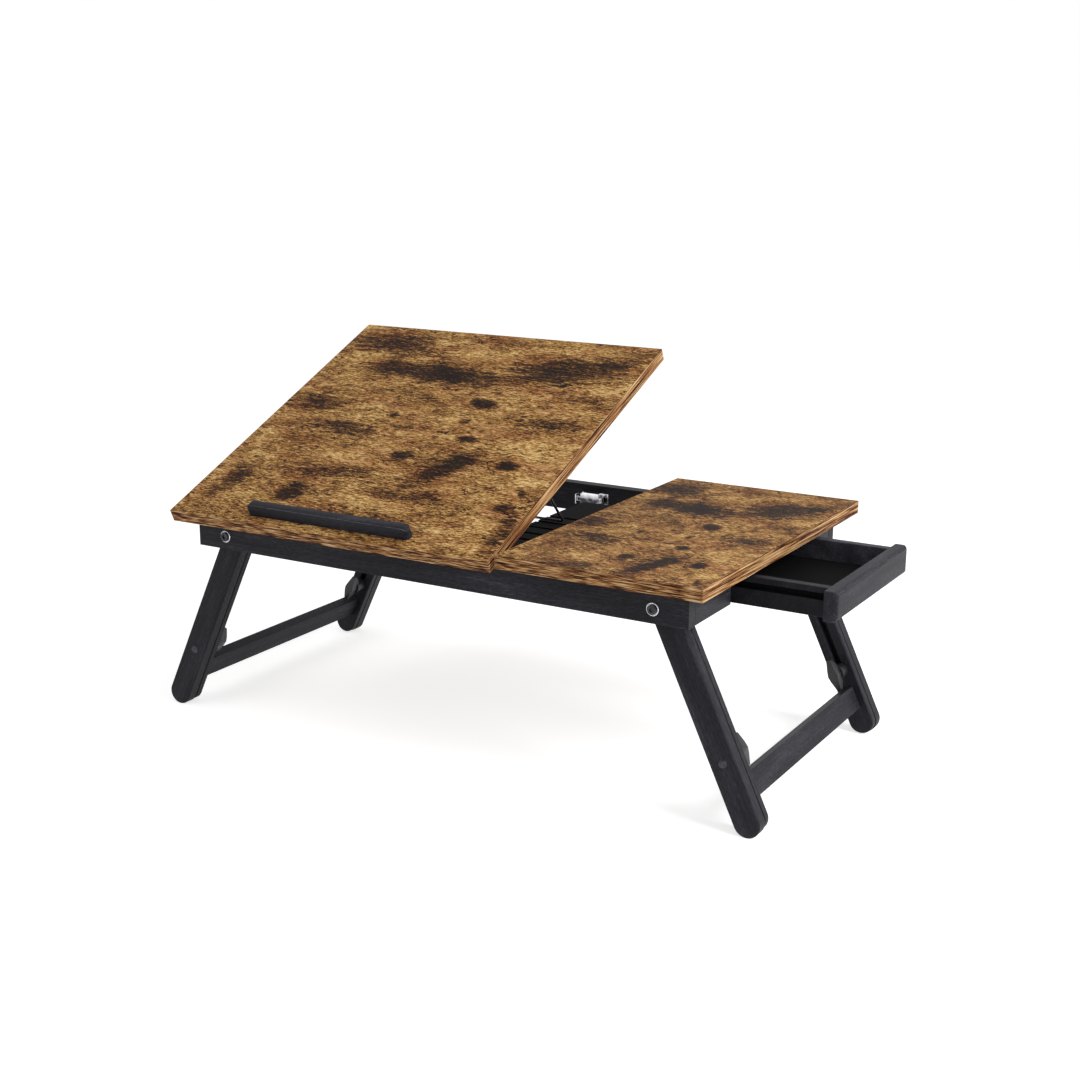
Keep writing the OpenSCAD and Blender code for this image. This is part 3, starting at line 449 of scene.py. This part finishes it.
def moulded_black_plastic():
    """Glass-filled nylon, moulded with a fine spark-eroded skin: black, softly sheened."""
    made, tree = material("moulded black nylon")
    coords = add(tree, "TexCoord", out=3)
    grit = add(tree, "TexNoise", {"Vector": coords, "Scale": 1 / (0.8 * MM), "Detail": 2.0})
    colour = add(
        tree, "ValToRGB", {"Fac": grit}, stops=((0.3, linear("#161618")), (0.7, linear("#232326")))
    )
    roughness = add(tree, "MapRange", {"Value": grit, "To Min": 0.34, "To Max": 0.5})
    bump = add(tree, "Bump", {"Strength": 0.25, "Distance": 0.1 * MM, "Height": grit})
    finish_material(tree, Base_Color=colour, Roughness=roughness, Normal=bump)
    return made


def blackened_steel():
    """Cold-drawn and stamped steel under black oxide: a dark satin metal with a faint mottle."""
    made, tree = material("black oxide steel")
    coords = add(tree, "TexCoord", out=3)
    mottle = add(tree, "TexNoise", {"Vector": coords, "Scale": 1 / (6 * MM), "Detail": 4.0})
    colour = add(
        tree, "ValToRGB", {"Fac": mottle}, stops=((0.35, linear("#2c2c2f")), (0.65, linear("#45454a")))
    )
    roughness = add(tree, "MapRange", {"Value": mottle, "To Min": 0.28, "To Max": 0.45})
    finish_material(tree, Base_Color=colour, Roughness=roughness, Metallic=0.85)
    return made


def chrome_painted_reflection(name, foot, head, dull, bright):
    """Bright chromium plate on a pressed catch and rings: mirror-like, with a faint haze, and a painted
    reflection in its colour, bright on faces that look up and darker on the others. From the height
    foot to head the painted reflection also goes from dull to bright, darker towards the bottom. dull
    and bright say how much it adds at each end."""
    made, tree = material(name)
    coords = add(tree, "TexCoord", out=3)
    haze = add(tree, "TexNoise", {"Vector": coords, "Scale": 1 / (5 * MM), "Detail": 2.0})
    facing = add(tree, "TexCoord", out=1)
    facing = add(tree, "SeparateXYZ", {0: facing}, out=2)
    facing = add(tree, "Math", {0: haze, 1: 0.3, 2: facing}, operation="MULTIPLY_ADD")
    # Painted reflection: dull at foot and below, bright at head
    height = add(tree, "SeparateXYZ", {0: coords}, out=2)
    height = add(
        tree,
        "MapRange",
        {"Value": height, "From Min": foot, "From Max": head, "To Min": dull, "To Max": bright},
    )
    facing = add(tree, "Math", {0: facing, 1: height}, operation="ADD")
    # The ramp paints the reflection into the colour, dark where a face looks down, near white where it
    # looks up
    colour = add(
        tree,
        "ValToRGB",
        {"Fac": facing},
        stops=(
            (0.08, linear("#37373b")),
            (0.18, linear("#8c8c92")),
            (0.45, linear("#d2d2d6")),
            (0.75, linear("#fcfcfc")),
        ),
    )
    roughness = add(tree, "MapRange", {"Value": haze, "To Min": 0.06, "To Max": 0.2})
    finish_material(tree, Base_Color=colour, Roughness=roughness, Metallic=1.0)
    return made


def chrome_edge_highlight_finish():
    """Painted highlight on the rounded edges of chromed pieces: near white, with a faint haze."""
    made, tree = material("chromium edge, painted highlight")
    coords = add(tree, "TexCoord", out=3)
    haze = add(tree, "TexNoise", {"Vector": coords, "Scale": 1 / (3 * MM), "Detail": 2.0})
    colour = add(
        tree, "ValToRGB", {"Fac": haze}, stops=((0.3, linear("#d8d8dc")), (0.7, linear("#ffffff")))
    )
    finish_material(tree, Base_Color=colour, Roughness=0.15, Metallic=0.7)
    return made


def zinc_steel():
    """Zinc-plated steel screws, bolts and pins: a bright grey metal, a little cloudy."""
    made, tree = material("zinc plated steel")
    coords = add(tree, "TexCoord", out=3)
    cloud = add(tree, "TexNoise", {"Vector": coords, "Scale": 1 / (2 * MM), "Detail": 3.0})
    colour = add(
        tree, "ValToRGB", {"Fac": cloud}, stops=((0.3, linear("#8f9196")), (0.7, linear("#b9bbc0")))
    )
    roughness = add(tree, "MapRange", {"Value": cloud, "To Min": 0.25, "To Max": 0.42})
    finish_material(tree, Base_Color=colour, Roughness=roughness, Metallic=1.0)
    return made


def drawn_steel():
    """Hard-drawn steel wire, thinly zinc-washed and dulled: a dark grey metal."""
    made, tree = material("drawn steel wire")
    coords = add(tree, "TexCoord", out=3)
    cloud = add(tree, "TexNoise", {"Vector": coords, "Scale": 1 / (3 * MM), "Detail": 3.0})
    colour = add(
        tree, "ValToRGB", {"Fac": cloud}, stops=((0.3, linear("#4a4b4f")), (0.7, linear("#6c6d72")))
    )
    roughness = add(tree, "MapRange", {"Value": cloud, "To Min": 0.3, "To Max": 0.45})
    finish_material(tree, Base_Color=colour, Roughness=roughness, Metallic=0.9)
    return made


def paint(piece, finish):
    """One finish all over a piece."""
    piece.data.materials.clear()
    piece.data.materials.append(finish)


def paint_groove_shade(mesh):
    """Gives the faces that lie inside the piece's box on every axis, as a groove's do, its second
    finish, which paints the groove's shade."""
    for axis in range(3):
        places = [v.co[axis] for v in mesh.vertices]
        low, high = min(places) + GROOVE_DEPTH, max(places) - GROOVE_DEPTH
        for face in mesh.polygons:
            if axis == 0:
                face.material_index = 1
            if not low < face.center[axis] < high:
                face.material_index = 0


def eased_copy(name, ease, two_finishes=False):
    """A copy of a CAD node for the eye: its triangles are joined into whole faces and its sharp
    edges are rounded by ease, as sanding, banding or pressing leaves them. With two finishes the
    edges take the second."""
    source = frame["nodes"][name]
    shape = bmesh.new()
    shape.from_mesh(source.data)
    bmesh.ops.remove_doubles(shape, verts=shape.verts, dist=SAME_PLACE)
    bmesh.ops.dissolve_limit(shape, angle_limit=FLAT_TURN, verts=shape.verts, edges=shape.edges)
    mesh = bpy.data.meshes.new(name + "_eased")
    shape.to_mesh(mesh)
    shape.free()
    if "custom_normal" in mesh.attributes:
        mesh.attributes.remove(mesh.attributes["custom_normal"])
    mesh.shade_smooth()
    piece = bpy.data.objects.new(name + "_eased", mesh)
    bpy.context.scene.collection.objects.link(piece)
    bevel = piece.modifiers.new("eased edges", "BEVEL")
    bevel.width = ease
    bevel.segments = 2
    bevel.limit_method = "ANGLE"
    bevel.angle_limit = SHARP_TURN
    bevel.harden_normals = True
    bevel.material = 1 if two_finishes else -1
    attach(piece, source["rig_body"])
    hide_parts(name)
    return piece


def grain_of(name, splay):
    """A word for the way a piece's grain runs, and the turn that lays it on X."""
    if name in ("front_rail", "rear_rail", "ledge_bar"):
        return "along x", Euler((0, 0, 0))
    if "outer" in name or "inner" in name:
        side = 1 if name.startswith("right") else -1
        return f"leg {side}", Euler((0, -math.pi / 2 + side * splay, 0))
    return "along y", Euler((0, 0, math.pi / 2))


def leg_seams():
    """Where along Y each outer leg bar bears on its inner bar."""
    seams = []
    for side in ("right", "left"):
        seams.append(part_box(side + "_outer_front")[1].y)
        seams.append(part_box(side + "_outer_rear")[0].y)
    return seams


def dress():
    """Puts every node's finish on it, with eased copies of the wooden and the chromed ones."""
    joints = {j["name"]: j for j in frame["joints"]}
    tilt = -math.radians(joints["top_tilt"]["range_deg"][0])
    leg_axis = joints["right_legs_extend"]["axis"]
    splay = math.atan2(abs(leg_axis[0]), abs(leg_axis[2]))
    slots = {p["node"]: p["material_slot"] for p in frame["record"]["subparts"]}
    low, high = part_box("fixed_top")
    thick = high.z - low.z
    tilt_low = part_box("tilt_top")[0]
    corner = Vector((tilt_low.x, tilt_low.y + thick * math.sin(tilt), tilt_low.z))
    boards = {
        "fixed_top": rustic_board(
            "printed board, fixed top", low, 0, SQUEEZED_PRINT, FIXED_TONE, FIXED_BAND
        ),
        "tilt_top": rustic_board(
            "printed board, tilting top", corner, tilt, WHOLE_PRINT, TILT_TONE, TILT_BAND
        ),
    }
    woods = {}
    hardboard_painted_shade = black_hardboard_painted_shade()
    black_edge_highlight = black_edge_highlight_finish()
    wire = drawn_steel()
    chrome_edge_highlight = chrome_edge_highlight_finish()
    case_low, case_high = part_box("latch_case")
    middle = (case_low.z + case_high.z) / 2
    # The catch's painted reflection goes from dull at the case's middle height to bright at its top
    catch = chrome_painted_reflection(
        "chromium plate, catch", foot=middle, head=case_high.z, dull=-0.08, bright=0.45
    )
    finishes = {
        "black_plastic": moulded_black_plastic(),
        "blackened_steel": blackened_steel(),
        "chrome": chrome_painted_reflection("chromium plate", foot=0, head=1, dull=0, bright=0),
        "zinc_steel": zinc_steel(),
    }
    for name, node in frame["nodes"].items():
        slot = slots[name]
        if slot == "rustic_board":
            paint(eased_copy(name, BOARD_EASE), boards[name])
        elif name in HARDBOARD:
            paint(node, hardboard_painted_shade)
        elif slot == "black_wood":
            word, turn = grain_of(name, splay)
            painted_light_scale = PAINTED_LIGHT_SCALE.get(name, 1)
            if (word, painted_light_scale) not in woods:
                seams = leg_seams() if word.startswith("leg") else ()
                title = f"black stained wood, {word}, {painted_light_scale}"
                woods[word, painted_light_scale] = black_wood(title, turn, seams, painted_light_scale)
            ease = EDGE_HIGHLIT_EASE if name in EDGE_HIGHLIT else BAR_EASE
            piece = eased_copy(name, ease, name in EDGE_HIGHLIT)
            paint(piece, woods[word, painted_light_scale])
            # The ledge's eased edges take a painted highlight
            if name in EDGE_HIGHLIT:
                piece.data.materials.append(black_edge_highlight)
            # The drawer sides' grooves take the hardboard's near black as painted shade
            if name in GROOVE_SHADED:
                piece.data.materials.append(hardboard_painted_shade)
                paint_groove_shade(piece.data)
        elif name in BRIGHT_EDGED:
            piece = eased_copy(name, METAL_EASE, two_finishes=True)
            paint(piece, catch if name.startswith("latch") else finishes[slot])
            # Their eased edges take the painted highlight
            piece.data.materials.append(chrome_edge_highlight)
        else:
            paint(node, wire if name == "prop_wire" else finishes[slot])


def area_light(name, at, towards, size, power):
    """A square soft box."""
    lamp = bpy.data.lights.new(name, "AREA")
    lamp.shape = "SQUARE"
    lamp.size = size
    lamp.energy = power
    holder = bpy.data.objects.new(name, lamp)
    bpy.context.scene.collection.objects.link(holder)
    holder.location = at
    holder.rotation_euler = (towards - at).to_track_quat("-Z", "Y").to_euler()


def seen_rays(tree):
    """1 for rays that come from the camera, directly or through a reflection or glass."""
    path = tree.nodes.new("ShaderNodeLightPath").outputs
    seen = {0: path["Is Camera Ray"], 1: path["Is Glossy Ray"]}
    seen = add(tree, "Math", seen, operation="MAXIMUM")
    return add(tree, "Math", {0: seen, 1: path["Is Transmission Ray"]}, operation="MAXIMUM")


def floor_and_light():
    """A pale floor that keeps the object's shadow, white behind, and two soft boxes."""
    scene = bpy.context.scene
    scene.view_settings.view_transform = "Standard"
    world = bpy.data.worlds.new("white studio")
    scene.world = world
    world.use_nodes = True
    tree = world.node_tree
    tree.nodes.clear()
    strength = add(tree, "MapRange", {"Value": seen_rays(tree), "To Min": WORLD_LIGHT})
    back = add(tree, "Background", {"Color": (1, 1, 1, 1), "Strength": strength})
    add(tree, "OutputWorld", {"Surface": back})

    made, tree = material("pale floor")
    matt = add(tree, "BsdfDiffuse", {"Color": linear("#f4f4f4")})
    lift = add(tree, "Math", {0: seen_rays(tree), 1: FLOOR_LIFT}, operation="MULTIPLY")
    glow = add(tree, "Emission", {"Color": (1, 1, 1, 1), "Strength": lift})
    both = add(tree, "AddShader", {0: matt, 1: glow})
    add(tree, "OutputMaterial", {"Surface": both})
    mesh = bpy.data.meshes.new("floor")
    corners = [(x * FLOOR_REACH, y * FLOOR_REACH, 0) for x, y in ((-1, -1), (1, -1), (1, 1), (-1, 1))]
    mesh.from_pydata(corners, [], [(0, 1, 2, 3)])
    floor = bpy.data.objects.new("floor", mesh)
    bpy.context.scene.collection.objects.link(floor)
    paint(floor, made)

    area_light("key", KEY_AT, LIT_MIDDLE, KEY_SIZE, KEY_POWER)
    area_light("fill", FILL_AT, LIT_MIDDLE, FILL_SIZE, FILL_POWER)


def camera():
    """The camera at the photograph's viewing angle."""
    low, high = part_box("fixed_top")
    corner = Vector((high.x, low.y, high.z))
    data = bpy.data.cameras.new("camera")
    data.sensor_width = SENSOR
    data.lens = LENS
    data.clip_end = SIGHT
    holder = bpy.data.objects.new("camera", data)
    bpy.context.scene.collection.objects.link(holder)
    holder.location = corner + CAMERA_FROM_CORNER
    turned = Euler((math.radians(90 - CAMERA_DIP), 0, math.radians(CAMERA_TURN)))
    rolled = Euler((0, 0, math.radians(CAMERA_ROLL)))
    holder.rotation_euler = (turned.to_matrix() @ rolled.to_matrix()).to_euler()
    bpy.context.scene.camera = holder


camera()
dress()
floor_and_light()
